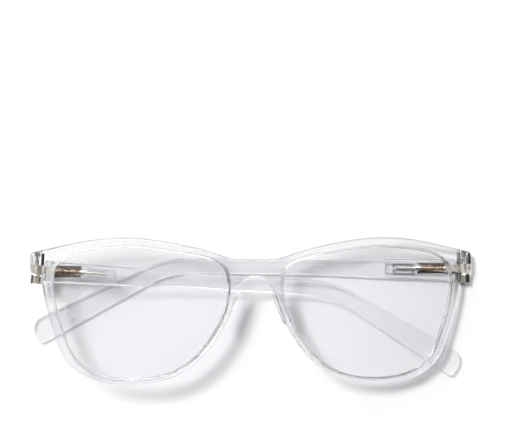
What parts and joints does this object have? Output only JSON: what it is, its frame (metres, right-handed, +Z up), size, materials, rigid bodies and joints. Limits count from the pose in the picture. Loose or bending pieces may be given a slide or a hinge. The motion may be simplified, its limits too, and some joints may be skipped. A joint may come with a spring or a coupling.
{
  "type": "eyeglasses",
  "caption": "Clear plastic reading glasses with spring hinges, folded and lying face up, with lenses in the rim grooves and moulded nose pads.",
  "frame": {"origin": "on the outer face of the left temple, below the middle of the bridge", "axes": "+Z up from the surface they lie on, +X towards the wearer's left, +Y towards the brow"},
  "size_m": [0.1376, 0.0454, 0.0256],
  "materials": {
    "clear_frame": "clear polished acrylic",
    "clear_lens": "clear polished lens",
    "clear_temple": "clear polished acrylic",
    "clear_plug": "clear plastic",
    "screw_steel": "nickel plated",
    "hinge_steel": "satin nickel silver",
    "collar_steel": "bright",
    "spring_bronze": "bronze wire",
    "insert_brass": "brass"
  },
  "bodies": {
    "front": {"front_frame": "clear_frame", "left_lens": "clear_lens", "left_hinge_screw": "screw_steel", "left_thread_insert": "insert_brass", "right_lens": "clear_lens", "right_hinge_screw": "screw_steel", "right_thread_insert": "insert_brass"},
    "left_hook": {"left_hinge_hook": "hinge_steel", "left_rod_collar": "collar_steel", "left_spring": "spring_bronze"},
    "right_hook": {"right_hinge_hook": "hinge_steel", "right_rod_collar": "collar_steel", "right_spring": "spring_bronze"},
    "left_arm": {"left_temple": "clear_temple", "left_pocket_plug": "clear_plug", "left_spring_seat": "collar_steel"},
    "right_arm": {"right_temple": "clear_temple", "right_pocket_plug": "clear_plug", "right_spring_seat": "collar_steel"}
  },
  "joints": [
    {"name": "left_fold", "type": "hinge", "parent": "left_hook", "child": "front", "pos_m": [0.06477, -0.00102, 0.00235], "axis": [0.0157, 0.9999, 0], "range_deg": [0, 88]},
    {"name": "right_fold", "type": "hinge", "parent": "front", "child": "right_hook", "pos_m": [-0.06765, -0.00103, 0.01767], "axis": [0.0625, 0.998, -0.0054], "range_deg": [0, 89.8]},
    {"name": "left_spring_slide", "type": "slide", "parent": "left_arm", "child": "left_hook", "axis": [0.9999, -0.0157, 0], "range_m": [0, 0.0015], "stiffness_N_per_m": 1200, "deforming": ["left_spring"]},
    {"name": "right_spring_slide", "type": "slide", "parent": "right_hook", "child": "right_arm", "axis": [0.9918, -0.0627, -0.1113], "range_m": [0, 0.0015], "stiffness_N_per_m": 1200, "deforming": ["right_spring"]}
  ],
  "couplings": [
    {"joint": "right_fold", "follows": "left_fold", "ratio": 1.02}
  ]
}
